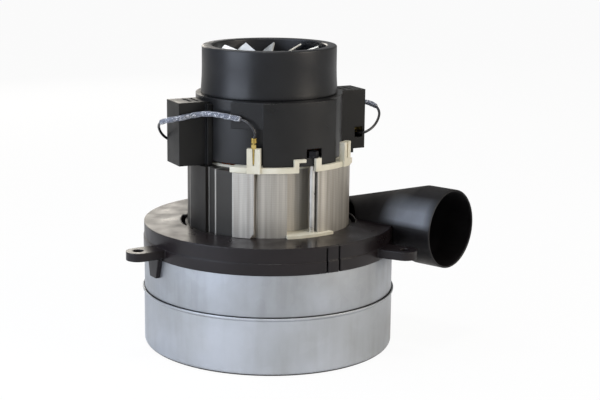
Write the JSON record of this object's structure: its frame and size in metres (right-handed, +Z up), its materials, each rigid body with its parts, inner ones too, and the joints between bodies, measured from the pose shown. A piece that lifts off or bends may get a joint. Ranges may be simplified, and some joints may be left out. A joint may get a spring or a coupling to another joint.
{
  "type": "vacuum motor unit",
  "caption": "Two-stage vacuum motor: steel fan case with a tangential discharge horn, a laminated field stack above it and a cooling fan in a round collar on top.",
  "frame": {"origin": "on the shaft axis, at the flat bottom of the fan case, in the plane of the air inlet", "axes": "+Z up along the shaft to the cooling fan, -Y towards the front of the picture, +X to the right, the side of the discharge horn"},
  "size_m": [0.1956, 0.1638, 0.1714],
  "materials": {
    "zinc_plated_steel": "galvanised sheet, satin",
    "black_plastic": "moulded, satin",
    "sheet_aluminium": "pressed sheet",
    "machined_steel": "turned",
    "bearing_steel": "ground",
    "lamination_steel": "stacked sheet edges",
    "enamelled_copper": "varnished winding",
    "cream_plastic": "moulded, satin",
    "brass": "pressed",
    "red_fibre": "insulating board",
    "brown_resin": "moulded",
    "copper": "turned",
    "carbon": "pressed carbon",
    "black_insulation": "cable insulation",
    "woven_sleeve": "glass fibre braid"
  },
  "bodies": {
    "motor_frame": {"lower_fan_shell": "zinc_plated_steel", "upper_fan_shell": "zinc_plated_steel", "fan_end_bracket": "black_plastic", "discharge_horn": "black_plastic", "brush_end_bracket": "black_plastic", "brush_housing_left": "black_plastic", "brush_housing_right": "black_plastic", "cooling_air_collar": "black_plastic", "return_vane_disc": "sheet_aluminium", "bearing_retainer": "machined_steel", "retainer_screws": "machined_steel", "through_screws": "machined_steel", "bearing_wave_washer": "machined_steel", "brush_spring_left": "machined_steel", "brush_spring_right": "machined_steel", "lower_bearing_outer_race": "bearing_steel", "lower_bearing_balls": "bearing_steel", "upper_bearing_outer_race": "bearing_steel", "upper_bearing_balls": "bearing_steel", "field_core": "lamination_steel", "field_coil_front": "enamelled_copper", "field_coil_rear": "enamelled_copper", "lower_coil_former": "cream_plastic", "upper_coil_former": "cream_plastic", "terminal_pins": "brass", "mains_terminals": "brass", "brush_tube_left": "brass", "brush_tube_right": "brass", "lower_bearing_cage": "brass", "upper_bearing_cage": "brass", "lead_wire_left": "black_insulation", "lead_wire_right": "black_insulation", "lead_sleeve_left": "woven_sleeve", "lead_sleeve_right": "woven_sleeve"},
    "rotor": {"shaft": "machined_steel", "armature_core": "lamination_steel", "armature_end_discs": "red_fibre", "armature_winding": "enamelled_copper", "commutator_hub": "brown_resin", "commutator_bars": "copper", "stage_one_front_plate": "sheet_aluminium", "stage_one_vanes": "sheet_aluminium", "stage_one_back_plate": "sheet_aluminium", "stage_two_front_plate": "sheet_aluminium", "stage_two_vanes": "sheet_aluminium", "stage_two_back_plate": "sheet_aluminium", "fan_spacer": "machined_steel", "hub_spacer": "machined_steel", "clamp_washers": "machined_steel", "impeller_nut": "machined_steel", "lower_bearing_inner_race": "bearing_steel", "upper_bearing_inner_race": "bearing_steel", "cooling_fan": "sheet_aluminium", "cooling_fan_nut": "machined_steel"},
    "brush_left": {"carbon_brush_left": "carbon"},
    "brush_right": {"carbon_brush_right": "carbon"}
  },
  "joints": [
    {"name": "rotor_spin", "type": "hinge", "parent": "motor_frame", "child": "rotor", "pos_m": [0, 0, 0], "axis": [0, 0, 1], "continuous": true},
    {"name": "brush_slide_left", "type": "slide", "parent": "motor_frame", "child": "brush_left", "axis": [-0.9041, -0.4274, 0], "range_m": [0, 0.004], "stiffness_N_per_m": 250, "springref_m": -0.015, "deforming": ["brush_spring_left"]},
    {"name": "brush_slide_right", "type": "slide", "parent": "motor_frame", "child": "brush_right", "axis": [0.9041, 0.4274, 0], "range_m": [0, 0.004], "stiffness_N_per_m": 250, "springref_m": -0.015, "deforming": ["brush_spring_right"]}
  ]
}
